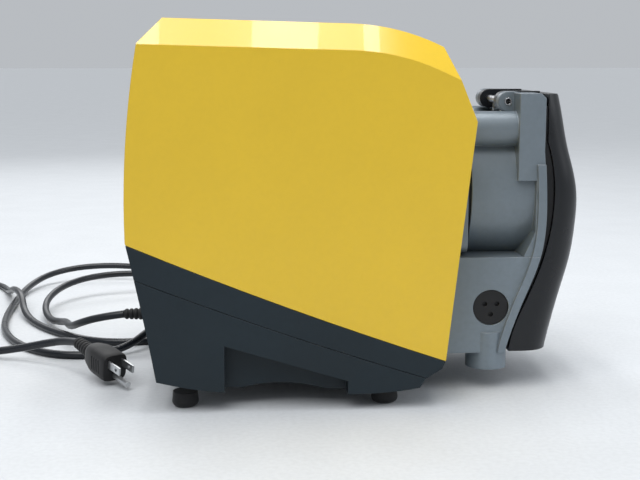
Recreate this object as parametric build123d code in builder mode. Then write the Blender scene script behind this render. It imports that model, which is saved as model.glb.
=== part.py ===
"""Bench-top peristaltic pump: cased drive, tube pump head with a hinged guard, and a mains lead.

Millimetres. +X points from the rear panel to the pump head, +Y to the far side, +Z up.
The origin is under the middle of the object, on the surface that it stands on.
"""

import os
from math import cos, pi, radians, sin, sqrt, tan

from build123d import *

os.makedirs("parts", exist_ok=True)

# ---------------------------------------------------------------- driving dimensions
case_half_width = 114.0
wall = 4.0
running = 0.05  # radial clearance of a shaft in its hole
clear = 0.4  # air between pieces that only sit near each other
parting = 0.5  # visible line between two casing mouldings

rotor_z = 162.0  # height of the rotor's axis
tube_x = 108.0  # plane that the pumping tube lies in
head_half_width = 66.0
head_bottom = 31.0
head_top = 235.0
port_y = 51.0

# Corners of the casing in side view, as (x, z)
rear_bottom = (-160, 25)
rear_widest = (-181, 133)
rear_middle = (-177.2, 223)
rear_shoulder = (-169, 280)
crown_rear = (-151, 299)
crown_bend = (-10, 295)
crown_drop = 171.0  # radius of the crown where it turns down
brow = (61, 277.5)
nose = (84, 222)
front_bottom = (63, 37.5)
bevel_top = (60, 31.5)
bevel_bottom = (47, 23.4)
belly_front = (43, 16.6)
flat_crown_half = 94.0  # half-width of the crown between its two side bevels

# Rubber feet: centres as (x, y), radius and the height of the tray above the table
foot_x = (-139, 18)
foot_y = 92
foot_r = 10.5


def save(solid, name):
    solid.label = name
    export_step(solid, f"parts/{name}.step")


def head_section(height=0.0):
    """A sketch plane across the rotor's axis, its x along +Y and its y along +Z."""
    return Plane(origin=(height, 0, rotor_z), x_dir=(0, 1, 0), z_dir=(1, 0, 0))


def side_plane(y=0.0):
    """A sketch plane at y, seen from the near side, with x along +X and y along +Z."""
    return Plane.XZ.offset(-y)


# ---------------------------------------------------------------- casing
def casing_outline():
    """Closed side outline of the casing, drawn in the current BuildLine."""
    ThreePointArc(rear_bottom, (-169.6, 78), rear_widest)
    ThreePointArc(rear_widest, rear_middle, rear_shoulder)
    Polyline(rear_shoulder, crown_rear, crown_bend)
    RadiusArc(crown_bend, brow, crown_drop)
    Polyline(brow, nose, front_bottom, bevel_top, bevel_bottom, belly_front)
    ThreePointArc(belly_front, (0, 12.6), (-31, 13.4))
    ThreePointArc((-31, 13.4), (-62, 18.8), (-94, 15.4))
    ThreePointArc((-94, 15.4), (-122, 17.4), (-145, 21.5))
    Line((-145, 21.5), rear_bottom)


def casing(inset=0.0):
    """The casing's outer form, moved inwards by inset on every side."""
    crown_half = flat_crown_half - inset * (sqrt(2) - 1)
    drop = inset
    with BuildPart() as form:
        with BuildSketch(Plane.XZ):
            with BuildLine():
                casing_outline()
            make_face()
            if inset:
                offset(amount=-inset, kind=Kind.INTERSECTION)
        extrude(amount=case_half_width - inset, both=True)
        for side in (-1, 1):
            with BuildSketch(side_plane(side * crown_half)):
                with BuildLine():
                    Line((-230, crown_bend[1] + 6.2 - drop), (crown_bend[0], crown_bend[1] - drop))
                    RadiusArc((crown_bend[0], crown_bend[1] - drop), (brow[0], brow[1] - drop), crown_drop)
                    Polyline(
                        (brow[0], brow[1] - drop),
                        (130, 246 - drop),
                        (130, 360),
                        (-230, 360),
                        (-230, crown_bend[1] + 6.2 - drop),
                    )
                make_face()
            extrude(amount=45, dir=(0, side, -1), mode=Mode.SUBTRACT)
    return form.part


def below(points, lower=0.0):
    """Everything under a slightly sagging line across the casing, through three (x, z) points."""
    start, middle, end = [(x, z - lower) for x, z in points]
    with BuildPart() as region:
        with BuildSketch(Plane.XZ):
            with BuildLine():
                Line((-240, start[1] + 22), start)
                ThreePointArc(start, middle, end)
                Polyline(end, (140, end[1] - 29), (140, -40), (-240, -40), (-240, start[1] + 22))
            make_face()
        extrude(amount=150, both=True)
    return region.part


colour_split = [(-181, 131.5), (-59, 81.6), (63, 37.5)]
tray_split = [(-176, 105), (-65, 62.5), (47, 24.6)]

# Hand recesses in the tray's sides, open to the arch underneath
recess_outline = [(-108, -5), (-108, 52.4), (-13, 23), (-13, -5)]
recess_depth = 16.0


def recess(side, grow=0.0):
    """One hand recess; grow is the thickness of the wall around it."""
    depth = recess_depth + grow
    with BuildPart() as pocket:
        with BuildSketch(side_plane(side * (case_half_width + 1))):
            with BuildLine():
                Polyline(*recess_outline, close=True)
            make_face()
            if grow:
                offset(amount=grow, kind=Kind.INTERSECTION)
        extrude(amount=side * (depth + 1))
    return pocket.part


# The rear bay, a box let into the rear wall
bay_half = 72.0
bay_z = (112.0, 206.0)
bay_floor = -158.0


def bay_block(half, low, high, depth):
    with BuildPart() as block:
        with BuildSketch(Plane.YZ.offset(-220)):
            with Locations((0, (low + high) / 2)):
                RectangleRounded(2 * half, high - low, 6)
        extrude(amount=220 + depth)
    return block.part


bay_outer = bay_block(bay_half, *bay_z, bay_floor)
bay_hole = bay_block(bay_half + clear, bay_z[0] - clear, bay_z[1] + clear, bay_floor + clear)
bay_inner = bay_block(bay_half - 3, bay_z[0] + 3, bay_z[1] - 3, bay_floor - 3)

envelope = casing()
cavity = casing(wall)
lower_part = below(colour_split)
tray_part = below(tray_split)

# The sloped control face: x of this plane runs along +Y and y runs up the slope
slope = (nose[0] - brow[0], nose[1] - brow[1])
slope_length = sqrt(slope[0] ** 2 + slope[1] ** 2)
control_normal = (-slope[1] / slope_length, 0, slope[0] / slope_length)
control_plane = Plane(
    origin=((brow[0] + nose[0]) / 2, 0, (brow[1] + nose[1]) / 2),
    x_dir=(0, 1, 0),
    z_dir=control_normal,
)
panel_size = (150.0, 44.0)

# Opening for the head's spigot and the gearbox in the casing's front
spigot_r = 48.0
with BuildPart() as front_opening:
    with BuildSketch(head_section(30)):
        Circle(spigot_r + 1)
    extrude(amount=80)

with BuildPart() as upper_shell:
    add(envelope)
    add(cavity, mode=Mode.SUBTRACT)
    add(lower_part, mode=Mode.SUBTRACT)
    add(bay_hole, mode=Mode.SUBTRACT)
    add(front_opening.part, mode=Mode.SUBTRACT)
    with BuildSketch(control_plane.offset(-8)):
        RectangleRounded(panel_size[0] + 2 * clear, panel_size[1] + 2 * clear, 5)
    extrude(amount=12, mode=Mode.SUBTRACT)
save(upper_shell.part, "upper_shell")

gland_spot = (-158.0, 60.0, 40.0)  # where the mains lead leaves the rear of the tray

with BuildPart() as base_shell:
    add(envelope)
    add(cavity, mode=Mode.SUBTRACT)
    add(below(colour_split, parting), mode=Mode.INTERSECT)
    add(tray_part, mode=Mode.SUBTRACT)
    add(bay_hole, mode=Mode.SUBTRACT)
    add(front_opening.part, mode=Mode.SUBTRACT)
save(base_shell.part, "base_shell")

with BuildPart() as base_tray:
    add(envelope)
    add(cavity, mode=Mode.SUBTRACT)
    for side in (-1, 1):
        add(recess(side, wall))
    with BuildSketch(Plane.YZ.offset(-166)):  # thickening behind the cable gland
        with Locations((gland_spot[1], gland_spot[2])):
            Circle(14)
    extrude(amount=14)
    add(envelope, mode=Mode.INTERSECT)
    add(below(tray_split, parting), mode=Mode.INTERSECT)
    for side in (-1, 1):
        add(recess(side), mode=Mode.SUBTRACT)
    with Locations(*[(x, side * foot_y, 12) for x in foot_x for side in (-1, 1)]):
        Cylinder(foot_r + clear, 16, align=(Align.CENTER, Align.CENTER, Align.MAX))
        Cylinder(3, 40, mode=Mode.SUBTRACT)
    for radius, reach in ((12.5, 200 + gland_spot[0] - 2), (8, 80)):
        with BuildSketch(Plane.YZ.offset(-200)):
            with Locations((gland_spot[1], gland_spot[2])):
                Circle(radius)
        extrude(amount=reach, mode=Mode.SUBTRACT)
    split(bisect_by=Plane.XY.offset(12), keep=Keep.TOP)
save(base_tray.part, "base_tray")

with BuildPart() as rubber_feet:
    with BuildSketch(Plane.XZ):
        with BuildLine():
            Polyline((0, 12), (0, 0), (foot_r - 3.5, 0))
            RadiusArc((foot_r - 3.5, 0), (foot_r, 4.5), -4.5)
            Polyline((foot_r, 4.5), (foot_r - 0.8, 12), (0, 12))
        make_face()
    revolve(axis=Axis.Z)
foot = rubber_feet.part
feet = Compound(children=[Pos(x, side * foot_y, 0) * foot for x in foot_x for side in (-1, 1)])
save(feet, "rubber_feet")


# ---------------------------------------------------------------- rear bay and what it carries
with BuildPart() as bay_form:
    add(bay_outer)
    add(envelope, mode=Mode.INTERSECT)
    add(bay_inner, mode=Mode.SUBTRACT)
    with BuildSketch(Plane.YZ.offset(-170)):
        with Locations((-44, 178)):
            Rectangle(21 + 2 * running, 27 + 2 * running)
        with Locations((-44, 136)):
            Circle(6.5)
        with Locations((2, 178), (2, 146)):
            Rectangle(40, 12)
    extrude(amount=40, mode=Mode.SUBTRACT)

bay_face = bay_floor - 3  # the bay's floor as seen from behind
save(split(bay_form.part, bisect_by=Plane.YZ.offset(bay_face), keep=Keep.BOTTOM), "rear_bay")
save(split(bay_form.part, bisect_by=Plane.YZ.offset(bay_face), keep=Keep.TOP), "rear_panel")

rocker_pivot = (bay_face + 2.0, -44.0, 178.0)
rocker_pin_r = 1.5
rocker_pin_half = 9.0

with BuildPart() as rocker_frame:
    with BuildSketch(Plane.YZ.offset(bay_face)):
        with Locations(rocker_pivot[1:]):
            Rectangle(25, 31)
    extrude(amount=-2)
    with BuildSketch(Plane.YZ.offset(bay_face)):
        with Locations(rocker_pivot[1:]):
            Rectangle(21, 27)
    extrude(amount=16)
    with BuildSketch(Plane.YZ.offset(bay_face - 4)):
        with Locations(rocker_pivot[1:]):
            Rectangle(16, 22)
    extrude(amount=15, mode=Mode.SUBTRACT)
    with BuildSketch(side_plane(rocker_pivot[1] - rocker_pin_half - clear)):
        with Locations((rocker_pivot[0], rocker_pivot[2])):
            Circle(rocker_pin_r + running)
    extrude(amount=-2 * (rocker_pin_half + clear), mode=Mode.SUBTRACT)
save(rocker_frame.part, "rocker_frame")

with BuildPart() as rocker:
    with BuildSketch(Plane.XZ.offset(-rocker_pivot[1])):
        with BuildLine():
            Polyline(
                (rocker_pivot[0] + 3, rocker_pivot[2] - 5),
                (rocker_pivot[0] + 3, rocker_pivot[2] + 5),
                (rocker_pivot[0] - 2, rocker_pivot[2] + 9.6),
                (rocker_pivot[0] - 8.6, rocker_pivot[2] + 9.6),
                (rocker_pivot[0] - 6.4, rocker_pivot[2]),
                (rocker_pivot[0] - 5.4, rocker_pivot[2] - 9.6),
                close=True,
            )
        make_face()
    extrude(amount=7.4, both=True)
    with BuildSketch(side_plane(rocker_pivot[1] - rocker_pin_half)):
        with Locations((rocker_pivot[0], rocker_pivot[2])):
            Circle(rocker_pin_r)
    extrude(amount=-2 * rocker_pin_half)
save(rocker.part, "rocker_switch")

with BuildPart() as fuse_holder:
    with BuildSketch(Plane.YZ.offset(bay_face)):
        with Locations((-44, 136)):
            Circle(9)
    extrude(amount=-2.5)
    with BuildSketch(Plane.YZ.offset(bay_face - 2.5)):
        with Locations((-44, 136)):
            Circle(7)
            Rectangle(9, 1.6, mode=Mode.SUBTRACT)
    extrude(amount=-4)
    with BuildSketch(Plane.YZ.offset(bay_face)):
        with Locations((-44, 136)):
            Circle(6.4)
    extrude(amount=30)
save(fuse_holder.part, "fuse_holder")

with BuildPart() as connectors:
    for z in (178, 146):
        with BuildSketch(Plane.YZ.offset(bay_face)):
            with Locations((2, z)):
                RectangleRounded(56, 14, 2)
        extrude(amount=-1.5)
        with BuildSketch(Plane.YZ.offset(bay_face - 1.5)):
            with Locations((2, z)):
                Trapezoid(36, 9.4, 80)
        extrude(amount=-5)
        with BuildSketch(Plane.YZ.offset(bay_face - 6.5)):
            with Locations((2, z)):
                Trapezoid(33.6, 7.4, 80)
        extrude(amount=3.5, mode=Mode.SUBTRACT)
        with BuildSketch(Plane.YZ.offset(bay_face)):
            with Locations((2, z)):
                Rectangle(39.2, 11.2)
        extrude(amount=12)
save(connectors.part, "data_connectors")

# ---------------------------------------------------------------- mains lead
cord_d = 7.0
relief_length = 34.0

gland_base = (gland_spot[0] - 2.0, gland_spot[1], gland_spot[2])
with BuildPart() as cable_gland:
    with BuildSketch(Plane.YZ.offset(gland_base[0])):
        with Locations(gland_base[1:]):
            Circle(7.9)
    extrude(amount=16)
    with BuildSketch(Plane.YZ.offset(gland_base[0])):
        with Locations(gland_base[1:]):
            RegularPolygon(11, 6)
    extrude(amount=-6)
save(cable_gland.part, "cable_gland")

relief_start = gland_base[0] - 6
with BuildPart() as strain_relief:
    with BuildSketch(Plane.YZ.offset(relief_start)):
        with Locations(gland_base[1:]):
            Circle(6.5)
    with BuildSketch(Plane.YZ.offset(relief_start - relief_length)):
        with Locations(gland_base[1:]):
            Circle(cord_d / 2 + 1)
    loft()
save(strain_relief.part, "strain_relief")

# Route of the lead over the table: x, y and the height of its centre
lying = cord_d / 2 + 0.1
over = cord_d * 2 + lying  # height at the top of a crossing
cord_route = [
    (relief_start - relief_length, 60, 40),
    (-222, 62, 37),
    (-242, 75, 29),
    (-254, 98, 20),
    (-262, 128, 18),
    (-272, 158, 11),
    (-287, 188, 6),
    (-298, 220, 10),
    (-300, 256, 15),
    (-290, 295, 20),
    (-266, 329, 23),
    (-228, 346, 24),
    (-184, 345, 22),
    (-146, 326, 17),
    (-118, 290, 11),
    (-109, 244, 6),
    (-124, 201, lying),
    (-147, 165, 8),
    (-166, 130, over),
    (-179, 94, over),
    (-197, 68, 8),
    (-222, 56, lying),
    (-254, 55, lying),
    (-285, 75, lying),
    (-310, 111, lying),
    (-327, 156, lying),
    (-336, 206, lying),
    (-340, 258, lying),
    (-342, 312, lying),
    (-339, 364, 7),
    (-322, 407, 13),
    (-286, 430, 17),
    (-240, 430, 18),
    (-190, 417, 15),
    (-143, 393, 10),
    (-104, 357, 6),
    (-78, 310, lying),
    (-68, 260, lying),
    (-75, 212, lying),
    (-98, 168, lying),
    (-134, 130, lying),
    (-172, 106, lying),
    (-208, 99, lying),
    (-238, 109, lying),
    (-263, 132, lying),
    (-287, 161, lying),
    (-307, 196, lying),
    (-321, 230, 7),
    (-329, 264, over),
    (-343, 297, over),
    (-354, 328, 8),
    (-362, 358, lying),
    (-376, 388, lying),
    (-403, 407, lying),
    (-437, 402, lying),
    (-459, 377, lying),
    (-461, 343, lying),
    (-454, 300, lying),
    (-441, 250, lying),
    (-428, 203, lying),
    (-412, 159, lying),
    (-389, 118, lying),
    (-357, 84, lying),
    (-322, 62, 6),
    (-290, 53, 12),
    (-265, 42, 19),
    (-248, 30, 23.5),
    (-236, 15, 25.5),
]


def corner_radius(before, corner, after):
    run_in, run_out = corner - before, after - corner
    turn = run_in.get_angle(run_out)
    return 0.45 * min(run_in.length, run_out.length) / tan(radians(turn / 2)), turn


corners = [Vector(*point) for point in cord_route]
bends = [corner_radius(*corners[i - 1:i + 2]) for i in range(1, len(corners) - 1)]
print("lead: bend radii", [round(radius) for radius, _ in bends])
print("lead: smallest radius", round(min(bends)[0], 1), "largest turn", round(max(turn for _, turn in bends)))
with BuildPart() as mains_cord:
    with BuildLine() as route:
        FilletPolyline(*corners, radius=[radius for radius, _ in bends])
    with BuildSketch(Plane(origin=route.wires()[0] @ 0, z_dir=route.wires()[0] % 0)):
        Circle(cord_d / 2)
    sweep()
length = route.wires()[0].length
print("lead: length", round(length), "volume ratio",
      round(mains_cord.part.volume / (length * pi * cord_d ** 2 / 4), 4))
save(mains_cord.part, "mains_cord")

# The plug lies on its side at the end of the lead, pins towards +X and the near side
plug_start = corners[-1]
plug_dir = Vector(0.6, -0.8, -0.17).normalized()


def plug_plane(along):
    return Plane(origin=plug_start + plug_dir * along, x_dir=(0.8, 0.6, 0), z_dir=plug_dir)


relief_end, body_end = 26.0, 62.0
with BuildPart() as plug_body:
    with BuildSketch(plug_plane(0)):
        Circle(cord_d / 2 + 1.2)
    with BuildSketch(plug_plane(relief_end)):
        Circle(6.5)
    loft()
    with BuildSketch(plug_plane(relief_end)):
        RectangleRounded(17, 19, 6)
    with BuildSketch(plug_plane(relief_end + 14)):
        RectangleRounded(23, 23.6, 8)
    loft()
    with BuildSketch(plug_plane(relief_end + 14)):
        RectangleRounded(23, 23.6, 8)
    extrude(amount=body_end - relief_end - 14)
save(plug_body.part, "plug_body")

blade_length, pin_length = 17.5, 21.0
with BuildPart() as plug_pins:
    with BuildSketch(plug_plane(body_end)):
        with Locations((-6.35, 4.5), (6.35, 4.5)):
            Rectangle(1.5, 6.35)
    extrude(amount=blade_length)
    with BuildSketch(plug_plane(body_end)):
        with Locations((0, -6.5)):
            Circle(2.4)
    extrude(amount=pin_length)
    with BuildSketch(Plane(origin=plug_plane(body_end + 12).from_local_coords((0, 4.5, 0)),
                           z_dir=(0.8, 0.6, 0))):
        Circle(1.6)
    extrude(amount=20, both=True, mode=Mode.SUBTRACT)
save(plug_pins.part, "plug_pins")

# ---------------------------------------------------------------- pump head casting
head_rear = 91.5
track_r = 57.0
port_r = 8.6


hinge = (123.0, 234.5)  # the guard's hinge line in side view, as (x, z)
hinge_pin_r = 3.0
eye_r = 8.0
arm_y = (26.5, 35.5)  # the guard's hinge arms
lug_y = (36.0, 45.0)  # the fixed lugs outside them
lug_top = 241.5
clamp_z = 68.7
clamp_r = 14.25
block_top = 110.0  # ledge where the round head stands on the block with the tube ports
drum_r = 12.5

with BuildPart() as head_casting:
    with BuildSketch(Plane.XZ):  # lower block with the tube ports
        with BuildLine():
            Polyline((118, 172), (60, block_top), (60, head_bottom), (119.5, head_bottom))
            Spline((119.5, head_bottom), (124.5, 48), (134.5, 75), (148, 112), (151.2, 160), (149, 196))
            Polyline((149, 196), (149, 200), (140, 200), (118, 172))
        make_face()
    extrude(amount=head_half_width + 2.5, both=True)
    for side in (-1, 1):  # the sides step in behind a raised lip along the front edge
        with BuildSketch(side_plane(side * head_half_width)):
            with BuildLine():
                Polyline((113, head_bottom - 5), (50, head_bottom - 5), (50, 210), (160, 210), (160, 185), (143, 185))
                Spline((143, 185), (144.2, 160), (141, 113), (128, 77), (118, 49), (113, head_bottom - 5))
            make_face()
        extrude(amount=side * -5, mode=Mode.SUBTRACT)
    with BuildSketch(Plane.XZ):  # everything above the block is cut back to the round body
        with BuildLine():
            Polyline((50, block_top), (134, block_top), (143, 130), (143, 172), (128, 172), (128, 260), (50, 260), close=True)
        make_face()
    extrude(amount=head_half_width + 5, both=True, mode=Mode.SUBTRACT)
    with BuildSketch(head_section(head_rear)):  # round body
        Circle(62)
    extrude(amount=55)
    with BuildSketch(Plane.XZ):  # top flange
        with BuildLine():
            Polyline((128, 172), (149, 172), (149, head_top - 5), (144, head_top), (128, head_top), close=True)
        make_face()
    extrude(amount=head_half_width, both=True)
    for side in (-1, 1):  # the flange's ends stand higher and carry the hinge lugs
        with BuildSketch(side_plane(side * lug_y[0])):
            with BuildLine():
                Polyline((128, 220), (149, 220), (149, lug_top - 4), (145, lug_top), (128, lug_top), close=True)
            make_face()
        extrude(amount=-side * (head_half_width - lug_y[0]))
    for side in (-1, 1):  # two long bosses that carry the guard's stays
        with BuildSketch(Plane.YZ.offset(80)):
            with Locations((side * 50, 213)):
                Circle(14)
        extrude(amount=50)
        with BuildSketch(Plane.XY.offset(17)):  # tube port
            with Locations((tube_x, side * port_y)):
                Circle(17)
            with Locations((tube_x + 25.2, side * port_y)):
                Rectangle(20, 40, mode=Mode.SUBTRACT)
        extrude(amount=31)
    with BuildSketch(head_section(66)):  # spigot that goes through the casing
        Circle(spigot_r)
    extrude(amount=head_rear - 66)
    # pump chamber, bearing seat and ports
    with BuildSketch(head_section(93)):
        Circle(track_r)
    extrude(amount=80, mode=Mode.SUBTRACT)
    with BuildSketch(Plane.YZ.offset(93)):
        with Locations((0, 92)):
            RectangleRounded(118, 24, 5)
    extrude(amount=80, mode=Mode.SUBTRACT)
    with BuildSketch(head_section(80)):
        Circle(41)
    extrude(amount=14, mode=Mode.SUBTRACT)
    with BuildSketch(head_section(60)):
        Circle(17.5)
    extrude(amount=21, mode=Mode.SUBTRACT)
    for side in (-1, 1):
        with BuildSketch(Plane.XY.offset(10)):
            with Locations((tube_x, side * port_y)):
                Circle(port_r)
        extrude(amount=76, mode=Mode.SUBTRACT)
    for side in (-1, 1):  # seats of the tube clamps, from the side faces inwards
        with BuildSketch(side_plane(side * (head_half_width + 5))):
            with Locations((tube_x, clamp_z)):
                Circle(clamp_r + clear)
        extrude(amount=side * 10, mode=Mode.SUBTRACT)
        with BuildSketch(side_plane(side * (head_half_width + 5))):
            with Locations((tube_x, clamp_z)):
                Circle(drum_r + running)
        extrude(amount=side * 33, mode=Mode.SUBTRACT)
    for side in (-1, 1):  # hinge lugs on top, beside slots for the guard's arms
        with BuildSketch(side_plane(side * lug_y[0])):
            with BuildLine():
                Polyline((hinge[0], hinge[1] - eye_r), (134, hinge[1] - eye_r), (134, lug_top))
                Polyline((134, lug_top), (hinge[0] + 6, hinge[1] + eye_r), (hinge[0], hinge[1] + eye_r))
                ThreePointArc((hinge[0], hinge[1] + eye_r), (hinge[0] - eye_r, hinge[1]),
                              (hinge[0], hinge[1] - eye_r))
            make_face()
        extrude(amount=-side * (lug_y[1] - lug_y[0]))
        with BuildSketch(side_plane(side * (arm_y[0] - clear))):
            with Locations(hinge):
                Circle(eye_r + 0.6)
        extrude(amount=side * -(arm_y[1] - arm_y[0] + 2 * clear), mode=Mode.SUBTRACT)
    with BuildSketch(side_plane(-60)):
        with Locations(hinge):
            Circle(hinge_pin_r)
    extrude(amount=-120, mode=Mode.SUBTRACT)
    add(envelope, mode=Mode.SUBTRACT)

for name, side_kept in (("head_body", Keep.TOP), ("port_block", Keep.BOTTOM)):
    with BuildPart() as casting:
        add(head_casting.part)
        split(bisect_by=Plane.XY.offset(block_top), keep=side_kept)
    save(casting.part, name)

with BuildPart() as mounting_plate:  # wedge between the sloping casing front and the head
    with BuildSketch(Plane.YZ.offset(55)):
        with Locations((0, 167)):
            RectangleRounded(122, 109.5, 8)
    extrude(amount=head_rear - 2.5 - 55)
    with BuildSketch(head_section(40)):
        Circle(50.5)
    extrude(amount=60, mode=Mode.SUBTRACT)
    add(envelope, mode=Mode.SUBTRACT)
    add(head_casting.part, mode=Mode.SUBTRACT)
save(mounting_plate.part, "mounting_plate")

with BuildPart() as head_gasket:
    with BuildSketch(head_section(head_rear - 2.5)):
        Circle(59.5)
        Circle(50.5, mode=Mode.SUBTRACT)
        with Locations((0, -120 + 110.3 - rotor_z + 60)):
            Rectangle(140, 120, mode=Mode.SUBTRACT)
    extrude(amount=2.5)
    add(head_casting.part, mode=Mode.SUBTRACT)
save(head_gasket.part, "head_gasket")

with BuildPart() as head_screws:
    for side in (-1, 1):
        with BuildSketch(Plane.YZ.offset(128)):
            with Locations((side * 14, 227.6)):
                Circle(3.4)
                RegularPolygon(1.9, 6, mode=Mode.SUBTRACT)
        extrude(amount=-4)
save(head_screws.part, "head_screws")


# ---------------------------------------------------------------- guard
guard_top = 241.0
guard_bottom = 32.0
guard_wall = 3.0
guard_rear = [(151.5, 203), (157, 180), (158.3, 158), (156, 132), (149.2, 104), (137.6, 75), (128.2, 53)]
guard_front = [(167, 222), (171.5, 200), (177.6, 178), (181, 158), (180.5, 138), (176.6, 108), (169.2, 80), (161.5, 50)]


def guard_form(inset, half_width, corner, reach=0.0):
    """The guard's outer form moved inwards by inset, its open rear pushed back by reach."""
    front = [(x - inset, z) for x, z in guard_front]
    rear = [(x - reach, z) for x, z in guard_rear]
    top = guard_top - inset
    bottom = guard_bottom + inset
    with BuildPart() as form:
        with BuildSketch(Plane.XZ):
            with BuildLine():
                Line((151.5 - reach, top), rear[0])
                Spline(*rear, (123.5 - reach, bottom))
                Line((123.5 - reach, bottom), (157.5 - inset, bottom))
                Spline((157.5 - inset, bottom), *front[::-1], (163.5 - inset, top - 3))
                Polyline((163.5 - inset, top - 3), (160.5 - inset, top), (151.5 - reach, top))
            make_face()
        extrude(amount=half_width, both=True)
        rims = form.edges().filter_by(
            lambda edge: abs(abs(edge.center().Y) - half_width) < 0.01
            and edge.center().X > 158 and edge.length > 100)
        fillet(rims, corner)
    return form.part


with BuildPart() as guard:
    add(guard_form(0, head_half_width, 20))
    add(guard_form(guard_wall, head_half_width - guard_wall, 17, reach=9), mode=Mode.SUBTRACT)
    for side in (-1, 1):  # solid pads that the hinge arms are screwed to
        with BuildSketch(Plane.YZ.offset(151.5)):
            with Locations((side * 31, 234)):
                Rectangle(14, 10)
        extrude(amount=5)
    with BuildSketch(Plane.XZ):  # latch bracket inside the lower edge
        with Locations((145, 36)):
            Rectangle(7, 3)
    extrude(amount=9, both=True)
save(guard.part, "guard")

with BuildPart() as hinge_arms:
    for side in (-1, 1):
        with BuildSketch(side_plane(side * arm_y[0])):
            with BuildLine():
                Polyline((hinge[0], hinge[1] + eye_r), (151.5, guard_top + 1.5), (151.5, head_top + clear))
                Polyline((151.5, head_top + clear), (hinge[0] + eye_r, head_top + clear),
                         (hinge[0] + eye_r, hinge[1]))
                ThreePointArc((hinge[0] + eye_r, hinge[1]), (hinge[0] - eye_r * cos(radians(45)),
                              hinge[1] - eye_r * sin(radians(45))), (hinge[0], hinge[1] + eye_r))
            make_face()
            with Locations(hinge):
                Circle(hinge_pin_r + running, mode=Mode.SUBTRACT)
        extrude(amount=side * -(arm_y[1] - arm_y[0]))
save(hinge_arms.part, "hinge_arms")

with BuildPart() as hinge_pin:
    with BuildSketch(side_plane(-46)):
        with Locations(hinge):
            Circle(hinge_pin_r)
            Circle(hinge_pin_r - 0.8, mode=Mode.SUBTRACT)
    extrude(amount=-92)
save(hinge_pin.part, "hinge_pin")

latch_pivot = (144.0, 29.6)
with BuildPart() as guard_latch:
    with BuildSketch(Plane.XZ):
        with BuildLine():
            Polyline((latch_pivot[0], 31.7), (117, 31.7 - 1.0), (117, 27.4), (latch_pivot[0], 27.4))
            ThreePointArc((latch_pivot[0], 27.4), (latch_pivot[0] + 2.1, latch_pivot[1]), (latch_pivot[0], 31.7))
        make_face()
        with Locations(latch_pivot):
            Circle(1.05, mode=Mode.SUBTRACT)
    extrude(amount=14, both=True)
save(guard_latch.part, "guard_latch")

with BuildPart() as latch_pin:
    with BuildSketch(side_plane(-17)):
        with Locations(latch_pivot):
            Circle(1.0)
    extrude(amount=-34)
    for side in (-1, 1):
        with BuildSketch(side_plane(side * 14.4)):
            with BuildLine():
                Polyline((latch_pivot[0] - 3, 32), (latch_pivot[0] - 3, 28.5), (latch_pivot[0] + 3, 28.5),
                         (latch_pivot[0] + 3, 32), close=True)
            make_face()
        extrude(amount=side * -2.6)
save(latch_pin.part, "latch_pin")

with BuildPart() as guard_seal:
    with BuildSketch(Plane.XZ):
        with BuildLine():
            Polyline((149, 196), (149, 231), (151, 231), (151, 203))
            Spline((151, 203), *[(x - 0.6, z) for x, z in guard_rear[1:]], (123.2, 35))
            Line((123.2, 35), (121, 35))
            Spline((121, 35), (124.5, 48), (134.5, 75), (148, 112), (151.2, 160), (149, 196))
        make_face()
    extrude(amount=64, both=True)
    with BuildSketch(Plane.YZ.offset(110)):
        with Locations((0, 133)):
            RectangleRounded(118, 186, 8)
    extrude(amount=60, mode=Mode.SUBTRACT)
    add(head_casting.part, mode=Mode.SUBTRACT)
save(guard_seal.part, "guard_seal")

# ---------------------------------------------------------------- rotor
roller_orbit = 40.0
roller_r = 12.0
roller_span = (98.0, 118.0)
arm_gap = (94.0, 122.0)  # from the rear plate to the front plate
arm_thick = 3.0
pivot_orbit = 24.0
pivot_lead = 50.0  # degrees that an arm's pivot is ahead of its roller
axle_r = 4.0
pivot_pin_r = 3.0
guide_r = 7.0
guide_orbit = 32.0


def polar(radius, angle):
    return (radius * cos(radians(angle)), radius * sin(radians(angle)))


roller_angles = (90, 270)
guide_angles = (0, 180)
shaft_r = 8.0

with BuildPart() as drive_shaft:
    with BuildSketch(head_section(24)):
        Circle(shaft_r)
    extrude(amount=roller_span[1] + 9 - 24)
save(drive_shaft.part, "drive_shaft")

with BuildPart() as rotor_frame:
    with BuildSketch(head_section(84)):
        Circle(39)
    extrude(amount=arm_gap[0] - 0.4 - 84)
    with BuildSketch(head_section(84)):
        Circle(13)
    extrude(amount=arm_gap[1] + 0.4 - 84)
    with BuildSketch(head_section(arm_gap[1] + 0.4)):
        Circle(44)
        with PolarLocations(36, 4, start_angle=45):
            Circle(6, mode=Mode.SUBTRACT)
    extrude(amount=4)
    for angle in [a + pivot_lead for a in roller_angles]:
        with BuildSketch(head_section(84)):
            with Locations(polar(pivot_orbit, angle)):
                Circle(pivot_pin_r)
        extrude(amount=arm_gap[1] + 4.4 - 84 + 5, mode=Mode.SUBTRACT)
    with BuildSketch(head_section(70)):
        Circle(shaft_r)
    extrude(amount=80, mode=Mode.SUBTRACT)
save(rotor_frame.part, "rotor_frame")

with BuildPart() as rotor_bolt:
    with BuildSketch(head_section(roller_span[1] + 9)):
        Circle(13)
    extrude(amount=2)
    with BuildSketch(head_section(roller_span[1] + 11)):
        RegularPolygon(8.5, 6)
    extrude(amount=5)
save(rotor_bolt.part, "rotor_bolt")

with BuildPart() as arm_pivot_pins:
    for angle in roller_angles:
        with BuildSketch(head_section(84)):
            with Locations(polar(pivot_orbit, angle + pivot_lead)):
                Circle(pivot_pin_r)
        extrude(amount=arm_gap[1] + 4.4 - 84)
save(arm_pivot_pins.part, "arm_pivot_pins")

with BuildPart() as arm_springs:
    for angle in roller_angles:
        with BuildSketch(head_section(arm_gap[0] + arm_thick + 1)):
            with Locations(polar(pivot_orbit, angle + pivot_lead)):
                Circle(8.2)
                Circle(6.6, mode=Mode.SUBTRACT)
        extrude(amount=6)
save(arm_springs.part, "arm_springs")

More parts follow.
